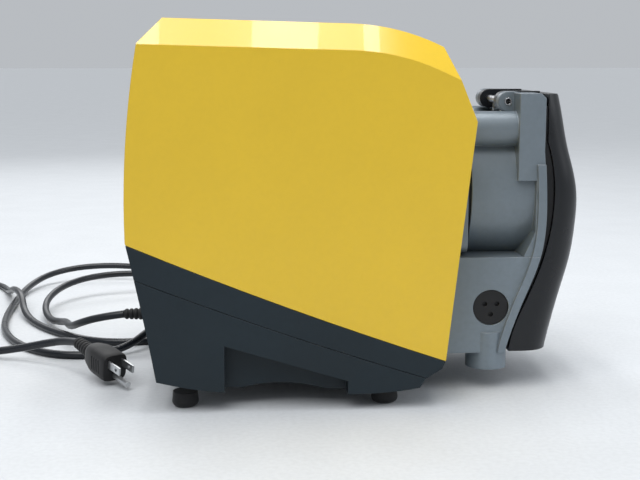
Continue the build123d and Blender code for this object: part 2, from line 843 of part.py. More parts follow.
for letter, angle in zip("ab", roller_angles):
    pivot = polar(pivot_orbit, angle + pivot_lead)
    centre = polar(roller_orbit, angle)
    with BuildPart() as roller_arm:
        for start in (arm_gap[0], arm_gap[1] - arm_thick):
            with BuildSketch(head_section(start)):
                with BuildLine():
                    Line(pivot, centre)
                make_hull(edges=[
                    *Circle(6, mode=Mode.PRIVATE).moved(Location((*pivot, 0))).edges(),
                    *Circle(7.5, mode=Mode.PRIVATE).moved(Location((*centre, 0))).edges(),
                ])
            extrude(amount=arm_thick)
        with BuildSketch(head_section(arm_gap[0])):
            with Locations(pivot):
                Circle(6)
        extrude(amount=arm_gap[1] - arm_gap[0])
        with BuildSketch(head_section(arm_gap[0])):
            with Locations(pivot):
                Circle(pivot_pin_r + running)
            with Locations(centre):
                Circle(axle_r)
        extrude(amount=arm_gap[1] - arm_gap[0], mode=Mode.SUBTRACT)
    save(roller_arm.part, f"roller_arm_{letter}")

    with BuildPart() as roller_axle:
        with BuildSketch(head_section(arm_gap[0])):
            with Locations(centre):
                Circle(axle_r)
        extrude(amount=arm_gap[1] - arm_gap[0])
    save(roller_axle.part, f"roller_axle_{letter}")

    with BuildPart() as roller:
        with BuildSketch(head_section(roller_span[0])):
            with Locations(centre):
                Circle(roller_r)
                Circle(axle_r + running, mode=Mode.SUBTRACT)
        extrude(amount=roller_span[1] - roller_span[0])
        chamfer(roller.edges().filter_by(GeomType.CIRCLE).filter_by(lambda edge: edge.radius > 10), 1)
    save(roller.part, f"main_roller_{letter}")

guide_gap = (arm_gap[0] - 0.4, arm_gap[1] + 0.4)
with BuildPart() as guide_axles:
    for angle in guide_angles:
        with BuildSketch(head_section(guide_gap[0])):
            with Locations(polar(guide_orbit, angle)):
                Circle(2.5)
        extrude(amount=guide_gap[1] - guide_gap[0])
save(guide_axles.part, "guide_axles")

for letter, angle in zip("ab", guide_angles):
    with BuildPart() as guide_roller:
        for start, radius, width in ((96, 11, 3), (99, guide_r, 18), (117, 11, 3)):
            with BuildSketch(head_section(start)):
                with Locations(polar(guide_orbit, angle)):
                    Circle(radius)
                    Circle(2.5 + running, mode=Mode.SUBTRACT)
            extrude(amount=width)
    save(guide_roller.part, f"guide_roller_{letter}")

with BuildPart() as head_bearing:
    with BuildSketch(head_section(67.5)):
        Circle(17.5)
        Circle(shaft_r + running, mode=Mode.SUBTRACT)
    extrude(amount=11)
    with BuildSketch(head_section(67.5)):
        Circle(14.5)
        Circle(11, mode=Mode.SUBTRACT)
    extrude(amount=1, mode=Mode.SUBTRACT)
save(head_bearing.part, "head_bearing")

# ---------------------------------------------------------------- tube clamps
for name, side in (("near", -1), ("far", 1)):
    with BuildPart() as tube_clamp:
        with BuildSketch(side_plane(side * (head_half_width - 0.7))):
            with Locations((tube_x, clamp_z)):
                Circle(clamp_r)
        extrude(amount=side * 3.6)
        with BuildSketch(side_plane(side * (head_half_width - 4.3))):
            with Locations((tube_x, clamp_z)):
                Circle(drum_r)
        extrude(amount=side * 23)
        with BuildSketch(Plane.XY.offset(clamp_z - 20)):
            with Locations((tube_x, side * port_y)):
                Circle(port_r)
        extrude(amount=40, mode=Mode.SUBTRACT)
        with BuildSketch(side_plane(side * (head_half_width - 0.7))):
            with Locations(*[(tube_x + 5.75 * sin(radians(a)), clamp_z + 5.75 * cos(radians(a)))
                             for a in (-60, 60, 180)]):
                Circle(2)
        extrude(amount=side * 3, mode=Mode.SUBTRACT)
    save(tube_clamp.part, f"tube_clamp_{name}")

# ---------------------------------------------------------------- drive inside the casing
with BuildPart() as gearbox_casing:
    with BuildSketch(head_section(14)):
        Circle(37)
        Circle(12, mode=Mode.SUBTRACT)
    extrude(amount=51)
    with BuildSketch(head_section(14)):
        Circle(37)
    extrude(amount=6)
save(gearbox_casing.part, "gearbox_casing")

motor_span = (-92.0, 13.0)
with BuildPart() as motor_casing:
    with BuildSketch(head_section(motor_span[0])):
        Circle(31)
        Circle(26, mode=Mode.SUBTRACT)
    extrude(amount=motor_span[1] - motor_span[0])
    for start in (motor_span[0], motor_span[1] - 5):
        with BuildSketch(head_section(start)):
            Circle(31)
            Circle(5, mode=Mode.SUBTRACT)
        extrude(amount=5)
save(motor_casing.part, "motor_casing")

with BuildPart() as armature:
    with BuildSketch(head_section(motor_span[0] - 14)):
        Circle(4.9)
    extrude(amount=motor_span[1] - motor_span[0] + 14)
    with BuildSketch(head_section(motor_span[0] + 18)):
        Circle(24)
    extrude(amount=motor_span[1] - motor_span[0] - 36)
    with BuildSketch(head_section(motor_span[0] - 10)):  # tachometer disc
        Circle(17)
        with PolarLocations(13, 16):
            Circle(1.5, mode=Mode.SUBTRACT)
    extrude(amount=2)
save(armature.part, "armature")

chassis_z = 66.0
with BuildPart() as chassis:
    with BuildSketch(Plane.XY.offset(chassis_z)):
        with Locations((-34, 0)):
            Rectangle(150, 200)
    extrude(amount=3)
    with BuildSketch(Plane.YZ.offset(20)):
        with Locations((0, (chassis_z + 205) / 2)):
            Rectangle(110, 205 - chassis_z)
    extrude(amount=3)
    with BuildSketch(head_section(10)):
        Circle(37.2)
    extrude(amount=30, mode=Mode.SUBTRACT)
    with BuildSketch(Plane.YZ.offset(-84)):
        with Locations((0, (chassis_z + 150) / 2)):
            Rectangle(80, 150 - chassis_z)
    extrude(amount=3)
    with BuildSketch(head_section(-90)):
        Circle(31.2)
    extrude(amount=20, mode=Mode.SUBTRACT)
    add(cavity, mode=Mode.INTERSECT)
save(chassis.part, "chassis")

with BuildPart() as power_board:
    with BuildSketch(Plane.XY.offset(chassis_z + 8)):
        with Locations((-52, 74)):
            Rectangle(100, 62)
    extrude(amount=1.6)
    with Locations(*[(x, y, chassis_z + 3) for x in (-97, -7) for y in (48, 100)]):
        Cylinder(3, 5, align=(Align.CENTER, Align.CENTER, Align.MIN))
    with Locations((-80, 60, chassis_z + 9.6), (-80, 86, chassis_z + 9.6)):
        Cylinder(9, 26, align=(Align.CENTER, Align.CENTER, Align.MIN))
save(power_board.part, "power_board")

with BuildPart() as transformer:
    with Locations((-30, 74, chassis_z + 9.6)):
        Box(40, 34, 40, align=(Align.CENTER, Align.CENTER, Align.MIN))
    with Locations((-30, 74, chassis_z + 15.6)):
        Box(28, 50, 28, align=(Align.CENTER, Align.CENTER, Align.MIN))
    fillet(transformer.edges().filter_by(Axis.Z), 2)
save(transformer.part, "transformer")

# ---------------------------------------------------------------- control face
window_size = (62.0, 28.0)
window_at = (-37.0, 0.0)
key_size = (16.0, 12.0)
key_travel = 0.8
key_spots = [(u, v) for v in (9.5, -9.5) for u in (14, 37, 60)]
flange_back = -wall - 1.7

with BuildPart() as keypad_panel:
    with BuildSketch(control_plane.offset(flange_back)):
        RectangleRounded(*panel_size, 5)
    extrude(amount=-flange_back)
    with BuildSketch(control_plane.offset(flange_back)):
        RectangleRounded(panel_size[0] + 6, panel_size[1] + 6, 5)
    extrude(amount=1.4)
    with BuildSketch(control_plane.offset(flange_back)):
        with Locations(*key_spots):
            RectangleRounded(key_size[0] + 0.6, key_size[1] + 0.6, 2.3)
        with Locations(window_at):
            Rectangle(window_size[0] - 6, window_size[1] - 6)
    extrude(amount=8, mode=Mode.SUBTRACT)
    with BuildSketch(control_plane.offset(-2)):
        with Locations(window_at):
            RectangleRounded(window_size[0] + 0.4, window_size[1] + 0.4, 2)
    extrude(amount=4, mode=Mode.SUBTRACT)
save(keypad_panel.part, "keypad_panel")

with BuildPart() as display_window:
    with BuildSketch(control_plane.offset(-2)):
        with Locations(window_at):
            RectangleRounded(*window_size, 2)
    extrude(amount=1.6)
save(display_window.part, "display_window")

with BuildPart() as display_module:
    with BuildSketch(control_plane.offset(flange_back - 5)):
        with Locations(window_at):
            Rectangle(window_size[0] + 8, window_size[1] + 8)
    extrude(amount=5)
save(display_module.part, "display_module")

with BuildPart() as control_board:
    with BuildSketch(control_plane.offset(flange_back - 7)):
        Rectangle(146, 44)
    extrude(amount=1.6)
save(control_board.part, "control_board")

key_names = ("start", "stop", "up", "mode", "reverse", "down")
for name, spot in zip(key_names, key_spots):
    with BuildPart() as key:
        with BuildSketch(control_plane.offset(flange_back - 0.6)):
            with Locations(spot):
                RectangleRounded(*key_size, 2)
        extrude(amount=-flange_back + 0.6 + 1.2)
        chamfer(key.faces().sort_by(Axis((0, 0, 0), control_normal))[-1].edges(), 0.5)
        with BuildSketch(control_plane.offset(flange_back - 1.6)):
            with Locations(spot):
                Rectangle(key_size[0] + 3, key_size[1] + 3)
        extrude(amount=1.2)
    save(key.part, f"key_{name}")
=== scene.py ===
"""The visual model of a cased peristaltic tubing pump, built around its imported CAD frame."""

from math import cos, pi, radians, sin

import bmesh
import bpy
from mathutils import Matrix, Vector


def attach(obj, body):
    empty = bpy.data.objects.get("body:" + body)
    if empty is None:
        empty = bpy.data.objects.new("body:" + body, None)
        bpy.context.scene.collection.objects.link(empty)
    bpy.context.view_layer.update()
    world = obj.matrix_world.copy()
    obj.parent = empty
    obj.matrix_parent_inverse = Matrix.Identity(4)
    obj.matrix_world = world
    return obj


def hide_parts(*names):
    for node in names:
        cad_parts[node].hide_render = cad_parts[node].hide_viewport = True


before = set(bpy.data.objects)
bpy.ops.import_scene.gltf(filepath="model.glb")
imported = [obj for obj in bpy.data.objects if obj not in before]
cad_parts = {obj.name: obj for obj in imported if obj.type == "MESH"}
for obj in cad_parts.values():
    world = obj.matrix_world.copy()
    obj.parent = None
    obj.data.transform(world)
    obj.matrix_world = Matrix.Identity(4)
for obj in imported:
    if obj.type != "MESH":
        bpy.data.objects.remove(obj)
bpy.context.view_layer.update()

MM = 0.001
UP = Vector((0, 0, 1))
Y_AXIS = Vector((0, 1, 0))
REARWARD = Vector((-1, 0, 0))


# ---------------------------------------------------------------- camera and light
def put(name, data, place, aim):
    """Adds a camera or a light to the scene, turned towards aim."""
    made = bpy.data.objects.new(name, data)
    made.location = place
    made.rotation_euler = (Vector(aim) - Vector(place)).to_track_quat("-Z", "Y").to_euler()
    bpy.context.scene.collection.objects.link(made)
    return made


def add_camera(place, aim, lens):
    data = bpy.data.cameras.new("camera")
    data.lens = lens
    data.sensor_width = 36
    data.clip_start = 0.01
    bpy.context.scene.camera = put("camera", data, place, aim)


def add_softbox(name, place, aim, size, power, colour=(1, 1, 1)):
    light = bpy.data.lights.new(name, "AREA")
    light.shape = "RECTANGLE"
    light.size, light.size_y = size
    light.energy = power
    light.color = colour
    put(name, light, place, aim)


def add_sun(name, place, aim, power, softness):
    """A distant light; softness is its width in the sky, in degrees."""
    light = bpy.data.lights.new(name, "SUN")
    light.energy = power
    light.angle = radians(softness)
    put(name, light, place, aim)


CAMERA_PLACE = (-0.097, -0.969, 0.271)
CAMERA_LENS = 64.7
PITCH, YAW = radians(9.1), radians(4.16)
camera_aim = (
    CAMERA_PLACE[0] + cos(PITCH) * sin(YAW),
    CAMERA_PLACE[1] + cos(PITCH) * cos(YAW),
    CAMERA_PLACE[2] - sin(PITCH),
)
add_camera(CAMERA_PLACE, camera_aim, CAMERA_LENS)

MIDDLE = (0, 0, 0.15)
CEILING = 1.7
COOL_WHITE = (0.93, 0.96, 1.0)
add_sun("key_light", (-0.5, -1.1, 1.9), MIDDLE, 1.5, 40)
for number, x in enumerate((-0.27, 0.04, 0.33)):  # ceiling strips that show in the crown's bevels
    add_softbox(f"strip_{number}", (x, 0.05, CEILING), (x, 0.05, 0), (0.13, 1.1), 5.5)
add_softbox("front_light", (1.6, -0.5, 0.9), MIDDLE, (0.9, 0.9), 7, COOL_WHITE)
add_softbox("back_light", (-0.6, 1.7, 1.1), MIDDLE, (1.3, 0.7), 8)

bpy.context.scene.view_settings.view_transform = "Standard"
world = bpy.data.worlds.new("studio")
bpy.context.scene.world = world
world.use_nodes = True
sky = world.node_tree.nodes["Background"]
sky.inputs["Color"].default_value = (0.88, 0.92, 0.97, 1)
sky.inputs["Strength"].default_value = 0.55


# ---------------------------------------------------------------- materials
class Finish:
    """A material whose colour, roughness and bump come from nodes."""

    def __init__(self, name):
        self.material = bpy.data.materials.new(name)
        self.material.use_nodes = True
        self.tree = self.material.node_tree
        self.shader = self.tree.nodes["Principled BSDF"]
        self.place = self.tree.nodes.new("ShaderNodeTexCoord").outputs["Object"]

    def node(self, kind, inputs=None, **settings):
        made = self.tree.nodes.new(kind)
        for key, value in settings.items():
            setattr(made, key, value)
        for key, value in (inputs or {}).items():
            if isinstance(value, bpy.types.NodeSocket):
                self.tree.links.new(value, made.inputs[key])
            else:
                made.inputs[key].default_value = value
        return made

    def noise(self, scale, detail, stretch=(1, 1, 1)):
        spread = self.node("ShaderNodeMapping", {"Vector": self.place, "Scale": stretch}).outputs[0]
        inputs = {"Vector": spread, "Scale": scale, "Detail": detail}
        return self.node("ShaderNodeTexNoise", inputs).outputs["Fac"]

    def remap(self, value, low, high, to_low=0.0, to_high=1.0):
        inputs = {"Value": value, "From Min": low, "From Max": high, "To Min": to_low, "To Max": to_high}
        return self.node("ShaderNodeMapRange", inputs).outputs[0]

    def maths(self, operation, first, second=0.0):
        return self.node("ShaderNodeMath", {0: first, 1: second}, operation=operation).outputs[0]

    def mix(self, factor, first, second):
        colours = {6: first, 7: second, 0: factor}
        return self.node("ShaderNodeMix", colours, data_type="RGBA").outputs[2]

    def edges(self, radius):
        """(a mask that is 1 on outer edges and 0 on flats, the rounded normal)."""
        rounded = self.node("ShaderNodeBevel", {"Radius": radius}, samples=6).outputs[0]
        flat = self.node("ShaderNodeNewGeometry").outputs["Normal"]
        likeness = self.node("ShaderNodeVectorMath", {0: rounded, 1: flat}, operation="DOT_PRODUCT")
        return self.remap(likeness.outputs["Value"], 0.995, 0.80), rounded

    def use(self, socket, value):
        if isinstance(value, bpy.types.NodeSocket):
            self.tree.links.new(value, self.shader.inputs[socket])
        else:
            self.shader.inputs[socket].default_value = value


DUST = (0.62, 0.62, 0.6)


def rgba(colour, factor=1.0):
    return tuple(channel * factor for channel in colour) + (1.0,)


def surface(name, colour, roughness, grain, worn, *, metallic=0.0, wear=0.35, patch=0.12, round_edge=0.8,
            coat=0.0, sheen=0.0, specular=0.5, stretch=(1, 1, 1), dust=0.0, speckle=0.35, smudge=0.06):
    """grain is (size of the fine bumps, their depth) in mm; worn is the colour of rubbed edges.

    patch and speckle are how far the colour varies in large and small spots, and smudge is how far the
    roughness does. dust is how much pale dust lies on what faces up.
    """
    look = Finish(name)
    patches = look.noise(14, 4)
    specks = look.noise(240, 2, stretch)
    base = look.mix(look.remap(patches, 0.3, 0.7), rgba(colour, 1 - patch), rgba(colour, 1 + patch))
    base = look.mix(look.remap(specks, 0.35, 0.75, 0.0, speckle), base, rgba(colour, 0.8))
    edge, rounded = look.edges(round_edge * MM)
    rubbed = look.maths("MULTIPLY", edge, look.remap(look.noise(60, 5), 0.42, 0.62, 0.0, wear))
    base = look.mix(rubbed, base, rgba(worn))
    if dust:
        facing = look.node("ShaderNodeSeparateXYZ", {0: look.node("ShaderNodeNewGeometry").outputs["Normal"]})
        level = look.remap(facing.outputs["Z"], 0.4, 1.0, 0.0, dust)
        settled = look.maths("MULTIPLY", level, look.remap(look.noise(35, 6), 0.35, 0.7))
        base = look.mix(settled, base, rgba(DUST))
    look.use("Base Color", base)
    smear = look.remap(look.noise(30, 5), 0.3, 0.7, -smudge, smudge)
    rough = look.maths("ADD", look.maths("ADD", smear, roughness), look.maths("MULTIPLY", rubbed, 0.12))
    look.use("Roughness", rough)
    look.use("Metallic", metallic)
    size, depth = grain
    fine = look.noise(1 / (size * MM), 2, stretch)
    bump = {"Height": fine, "Strength": 0.6, "Distance": depth * MM, "Normal": rounded}
    look.use("Normal", look.node("ShaderNodeBump", bump).outputs[0])
    look.use("Coat Weight", coat)
    look.use("Sheen Weight", sheen)
    look.use("Specular IOR Level", specular)
    return look.material


def steel_surface(name, colour, roughness, stretch):
    """Bare metal; stretch sets the direction of its brushing."""
    return surface(name, colour, roughness, (0.5, 0.012), (0.9, 0.9, 0.92), metallic=1.0, wear=0.2,
                   patch=0.05, round_edge=0.4, stretch=stretch)


yellow = surface("yellow_paint", (0.70, 0.46, 0.014), 0.30, (1.6, 0.009), (0.88, 0.70, 0.22), wear=0.30,
                 patch=0.02, round_edge=1.0, coat=0.35, speckle=0.12, smudge=0.02)
charcoal = surface("charcoal_moulding", (0.009, 0.017, 0.023), 0.48, (0.6, 0.05), (0.07, 0.08, 0.09),
                   wear=0.5, specular=0.3, dust=0.06)
cast_grey = surface("cast_grey_paint", (0.155, 0.19, 0.22), 0.34, (1.2, 0.045), (0.40, 0.42, 0.44), wear=0.5,
                    metallic=0.2, round_edge=1.2, specular=0.6)
guard_black = surface("guard_black", (0.006, 0.007, 0.009), 0.30, (0.7, 0.035), (0.05, 0.05, 0.055),
                      wear=0.45, round_edge=1.2, specular=0.38)
black_plastic = surface("black_plastic", (0.008, 0.008, 0.009), 0.40, (0.6, 0.03), (0.06, 0.06, 0.065),
                        specular=0.35)
rubber = surface("black_rubber", (0.008, 0.008, 0.009), 0.60, (0.5, 0.04), (0.04, 0.04, 0.042), sheen=0.1,
                 specular=0.3, dust=0.06)
panel_grey = surface("panel_grey", (0.045, 0.05, 0.056), 0.5, (0.7, 0.04), (0.2, 0.2, 0.21), specular=0.35,
                     dust=0.05)
cord_jacket = surface("cord_jacket", (0.007, 0.009, 0.013), 0.30, (0.9, 0.02), (0.03, 0.032, 0.04), wear=0.2,
                      specular=0.4, dust=0.05)
nylon = surface("filled_nylon", (0.72, 0.72, 0.66), 0.45, (0.9, 0.03), (0.85, 0.85, 0.8), wear=0.4)
turned_steel = steel_surface("turned_steel", (0.55, 0.55, 0.56), 0.28, (6, 1, 1))
plated_steel = steel_surface("plated_steel", (0.60, 0.61, 0.62), 0.34, (1, 1, 4))
aluminium = steel_surface("machined_aluminium", (0.70, 0.71, 0.72), 0.36, (1, 5, 1))
board_green = surface("circuit_board", (0.010, 0.10, 0.045), 0.35, (0.8, 0.02), (0.1, 0.3, 0.15), coat=0.3)
key_grey = surface("grey_key", (0.42, 0.44, 0.45), 0.5, (0.6, 0.02), (0.6, 0.6, 0.6))
key_green = surface("green_key", (0.02, 0.30, 0.09), 0.48, (0.6, 0.02), (0.2, 0.5, 0.25))
key_red = surface("red_key", (0.45, 0.02, 0.018), 0.48, (0.6, 0.02), (0.6, 0.2, 0.18))
mark_white = surface("mark_white", (0.78, 0.78, 0.76), 0.5, (0.5, 0.01), (0.9, 0.9, 0.9))
lcd_green = surface("lcd_green", (0.30, 0.36, 0.24), 0.35, (0.8, 0.005), (0.4, 0.45, 0.35), wear=0.0)
gold_pins = surface("gold_pins", (0.75, 0.55, 0.20), 0.25, (0.5, 0.005), (0.9, 0.75, 0.4), metallic=1.0)
studio_floor = surface("studio_floor", (0.60, 0.62, 0.64), 0.6, (2.0, 0.02), (0.6, 0.62, 0.64), wear=0.0,
                       patch=0.02, specular=0.3)


def window_surface():
    """Clear plastic with faint smears."""
    look = Finish("display_window")
    smears = look.noise(50, 4)
    look.use("Base Color", look.mix(smears, (0.60, 0.68, 0.62, 1), (0.66, 0.72, 0.66, 1)))
    look.use("Roughness", look.remap(smears, 0.3, 0.7, 0.03, 0.10))
    look.use("Transmission Weight", 0.9)
    look.use("IOR", 1.49)
    return look.material


window_glass = window_surface()

NODE_FINISH = {
    yellow: ["upper_shell"],
    charcoal: ["base_shell", "base_tray"],
    cast_grey: ["head_body", "port_block", "mounting_plate"],
    guard_black: ["guard", "hinge_arms", "guard_latch", "latch_pin"],
    rubber: ["rubber_feet", "head_gasket", "guard_seal"],
    panel_grey: ["rear_bay", "rear_panel", "keypad_panel"],
    black_plastic: [
        "rocker_frame", "rocker_switch", "fuse_holder", "cable_gland", "tube_clamp_near", "tube_clamp_far",
        "motor_casing",
    ],
    turned_steel: [
        "drive_shaft", "rotor_bolt", "arm_pivot_pins", "roller_arm_a", "roller_arm_b", "roller_axle_a",
        "roller_axle_b", "guide_axles", "head_bearing", "hinge_pin", "armature",
    ],
    plated_steel: ["plug_pins", "head_screws", "data_connectors", "gearbox_casing", "chassis", "transformer"],
    aluminium: ["rotor_frame"],
    nylon: ["main_roller_a", "main_roller_b", "guide_roller_a", "guide_roller_b"],
    board_green: ["power_board", "display_module", "control_board"],
    window_glass: ["display_window"],
    key_grey: ["key_up", "key_mode", "key_reverse", "key_down"],
    key_green: ["key_start"],
    key_red: ["key_stop"],
}
for finish, names in NODE_FINISH.items():
    for name in names:
        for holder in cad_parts[name].material_slots:
            holder.material = finish


# ---------------------------------------------------------------- mesh helpers
SHARP_ANGLE = radians(38)


def metres(pairs):
    """Pairs of lengths given in millimetres, in metres."""
    return [(first * MM, second * MM) for first, second in pairs]


def piece_from(name, builder, material, body, smooth=True):
    """Turns a bmesh into a piece that rides on a body, with the given material."""
    bmesh.ops.recalc_face_normals(builder, faces=builder.faces)
    mesh = bpy.data.meshes.new(name)
    builder.to_mesh(mesh)
    builder.free()
    piece = bpy.data.objects.new(name, mesh)
    bpy.context.scene.collection.objects.link(piece)
    mesh.materials.append(material)
    if smooth:
        for polygon in mesh.polygons:
            polygon.use_smooth = True
        mesh.set_sharp_from_angle(angle=SHARP_ANGLE)
    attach(piece, body)
    return piece


def bridge(builder, rows):
    """Faces between each row of vertices and the next."""
    count = len(rows[0])
    for low, high in zip(rows, rows[1:]):
        for i in range(count):
            builder.faces.new((low[i], low[(i + 1) % count], high[(i + 1) % count], high[i]))


def skin(builder, rings):
    """Joins rings of the same number of points into a closed body."""
    rows = [[builder.verts.new(point) for point in ring] for ring in rings]
    bridge(builder, rows)
    builder.faces.new(rows[0][::-1])
    builder.faces.new(rows[-1])


def frame_at(origin, direction, side=None):
    """A matrix whose Z is the direction and whose X is the side, at the origin."""
    z = Vector(direction).normalized()
    x = Vector(side) if side else z.orthogonal()
    x = (x - z * x.dot(z)).normalized()
    placed = Matrix((x, z.cross(x), z)).transposed().to_4x4()
    placed.translation = origin
    return placed


def round_ring(placed, along, radius, steps):
    """A circle of points about the matrix's Z, at a distance along it."""
    turns = [2 * pi * i / steps for i in range(steps)]
    return [placed @ Vector((radius * cos(turn), radius * sin(turn), along)) for turn in turns]


def turned(builder, placed, profile, steps=40):
    """A turned body from (distance along the axis, radius) pairs."""
    skin(builder, [round_ring(placed, along, radius, steps) for along, radius in profile])


def soft_square_ring(placed, along, width, height, power, steps=48):
    """A ring between a square and a circle: the higher the power, the squarer."""
    ring = []
    for i in range(steps):
        turn = 2 * pi * i / steps
        c, s = cos(turn), sin(turn)
        scale = (abs(c) ** power + abs(s) ** power) ** (-1 / power)
        ring.append(placed @ Vector((c * scale * width / 2, s * scale * height / 2, along)))
    return ring


def prism(builder, placed, outline, depth):
    """An outline in the matrix's XY plane, raised along its Z."""
    low = [placed @ Vector((x, y, 0)) for x, y in outline]
    high = [placed @ Vector((x, y, depth)) for x, y in outline]
    skin(builder, [low, high])


# ---------------------------------------------------------------- mains lead
CORD_DIAMETER = 0.007
LYING = 0.0036  # height of the lead's middle where it lies on the floor
OVER = 0.0176  # and where it crosses over itself
EXIT = Vector((-0.200, 0.060, 0.040))
SLEEVE_LENGTH = 34 * MM
cord_points = [
    EXIT, (-0.222, 0.062, 0.037), (-0.242, 0.075, 0.029), (-0.254, 0.098, 0.020), (-0.262, 0.128, 0.018),
    (-0.272, 0.158, 0.011), (-0.287, 0.188, 0.006), (-0.298, 0.220, 0.010), (-0.300, 0.256, 0.015),
    (-0.290, 0.295, 0.020), (-0.266, 0.329, 0.023), (-0.228, 0.346, 0.024), (-0.184, 0.345, 0.022),
    (-0.146, 0.326, 0.017), (-0.118, 0.290, 0.011), (-0.109, 0.244, 0.006), (-0.124, 0.201, LYING),
    (-0.147, 0.165, 0.008), (-0.166, 0.130, OVER), (-0.179, 0.094, OVER), (-0.197, 0.068, 0.008),
    (-0.222, 0.056, LYING), (-0.254, 0.055, LYING), (-0.285, 0.075, LYING), (-0.310, 0.111, LYING),
    (-0.327, 0.156, LYING), (-0.336, 0.206, LYING), (-0.340, 0.258, LYING), (-0.342, 0.312, LYING),
    (-0.339, 0.364, 0.007), (-0.322, 0.407, 0.013), (-0.286, 0.430, 0.017), (-0.240, 0.430, 0.018),
    (-0.190, 0.417, 0.015), (-0.143, 0.393, 0.010), (-0.104, 0.357, 0.006), (-0.078, 0.310, LYING),
    (-0.068, 0.260, LYING), (-0.075, 0.212, LYING), (-0.098, 0.168, LYING), (-0.134, 0.130, LYING),
    (-0.172, 0.106, LYING), (-0.208, 0.099, LYING), (-0.238, 0.109, LYING), (-0.263, 0.132, LYING),
    (-0.287, 0.161, LYING), (-0.307, 0.196, LYING), (-0.321, 0.230, 0.007), (-0.329, 0.264, OVER),
    (-0.343, 0.297, OVER), (-0.354, 0.328, 0.008), (-0.362, 0.358, LYING), (-0.376, 0.388, LYING),
    (-0.403, 0.407, LYING), (-0.437, 0.402, LYING), (-0.459, 0.377, LYING), (-0.461, 0.343, LYING),
    (-0.454, 0.300, LYING), (-0.441, 0.250, LYING), (-0.428, 0.203, LYING), (-0.412, 0.159, LYING),
    (-0.389, 0.118, LYING), (-0.357, 0.084, LYING), (-0.322, 0.062, 0.006), (-0.290, 0.053, 0.012),
    (-0.265, 0.042, 0.019), (-0.248, 0.030, 0.0235), (-0.236, 0.015, 0.0255),
]
PLUG_START = Vector(cord_points[-1])
PLUG_DIRECTION = Vector((0.6, -0.8, -0.17)).normalized()


def add_cord():
    curve = bpy.data.curves.new("mains_lead", "CURVE")
    curve.dimensions = "3D"
    curve.bevel_depth = CORD_DIAMETER / 2
    curve.bevel_resolution = 6
    curve.resolution_u = 10
    curve.use_fill_caps = True
    spline = curve.splines.new("NURBS")
    spline.points.add(len(cord_points) - 1)
    for point, place in zip(spline.points, cord_points):
        point.co = (*place, 1)
    spline.order_u = 3
    spline.use_endpoint_u = True
    curve.materials.append(cord_jacket)
    cord = bpy.data.objects.new("mains_lead", curve)
    bpy.context.scene.collection.objects.link(cord)
    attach(cord, "root")
    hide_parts("mains_cord")
    return cord


RIB = ((0.0, 1.0), (0.10, 1.0), (0.22, 0.25), (0.34, 0.0), (0.66, 0.0), (0.78, 0.25), (0.90, 1.0))


def ribbed(profile_start, profile_end, count, start_radius, end_radius, groove):
    """Ribs along a taper: (distance, radius) pairs with a rounded rib at each step."""
    pitch = (profile_end - profile_start) / count
    pairs = []
    for i in range(count):
        begin = profile_start + i * pitch
        share = (i + 0.5) / count
        radius = start_radius + (end_radius - start_radius) * share
        for step, drop in RIB:
            pairs.append((begin + step * pitch, radius - drop * groove))
    pairs.append((profile_end, end_radius - groove))
    return pairs


# The plug's moulding, from the lead to the pins, in mm: distance, width, height and squareness
PLUG_SECTIONS = (
    (25.0, 11.0, 11.5, 2.2), (25.6, 14.6, 15.8, 2.5), (27.2, 17.4, 19.0, 2.9), (31.0, 19.3, 20.8, 3.3),
    (36.0, 21.4, 22.6, 3.8), (40.0, 22.7, 23.4, 4.0), (46.0, 22.9, 23.5, 4.2), (56.0, 22.9, 23.5, 4.4),
    (60.4, 22.7, 23.3, 4.4), (61.6, 21.9, 22.5, 4.2), (62.0, 20.4, 21.0, 4.0),
)
RIDGE_PROFILE = ((0, 0.2), (0.8, 0.75), (11.2, 0.75), (12, 0.2))
RIDGE_SIDE = 11.2  # from the plug's middle to its ridges
RIDGE_START, RIDGE_PITCH = 43, 3.6


def add_plug():
    """The plug's moulding and its ribbed relief; returns everything that the lead's end carries."""
    placed = frame_at(PLUG_START, PLUG_DIRECTION, (0.8, 0.6, 0))
    builder = bmesh.new()
    turned(builder, placed, metres([(0, 3.6), (0, 4.6), *ribbed(0.6, 26, 6, 5.2, 6.6, 1.1)]))
    relief = piece_from("plug_relief", builder, rubber, "root")
    builder = bmesh.new()
    rings = [
        soft_square_ring(placed, along * MM, width * MM, height * MM, power)
        for along, width, height, power in PLUG_SECTIONS
    ]
    skin(builder, rings)
    for side in (-1, 1):  # finger ridges on both flanks
        for i in range(4):
            place = placed @ Vector((side * RIDGE_SIDE * MM, 0, (RIDGE_START + RIDGE_PITCH * i) * MM))
            foot = place - UP * RIDGE_PROFILE[-1][0] / 2 * MM
            ridge = frame_at(foot, UP, placed.to_3x3() @ Vector((1, 0, 0)))
            turned(builder, ridge, metres(RIDGE_PROFILE), 12)
    body = piece_from("plug_moulding", builder, rubber, "root")
    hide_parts("plug_body")
    return [body, relief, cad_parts["plug_pins"]]


def add_strain_relief():
    """The ribbed sleeve where the lead leaves the rear of the base."""
    placed = frame_at(EXIT - SLEEVE_LENGTH * REARWARD, REARWARD)
    builder = bmesh.new()
    turned(builder, placed, metres([(0, 6.2), *ribbed(0.3, 33.6, 8, 6.4, 4.7, 0.9), (33.9, 3.7)]))
    sleeve = piece_from("lead_sleeve", builder, rubber, "root")
    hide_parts("strain_relief")


lead = add_cord()
on_lead = add_plug()
add_strain_relief()


# ---------------------------------------------------------------- springs in the rotor
ROTOR_AXIS = Vector((0, 0, 0.162))
PIVOT_ORBIT = 24 * MM
PIVOT_TURNS = (radians(140), radians(320))
SPRING_WIRE = 1.5 * MM
SPRING_R = 7.4 * MM
SPRING_START = 98.9 * MM
SPRING_LENGTH = 4.2 * MM
SPRING_TURNS = 2.8
SPRING_STEPS = 84


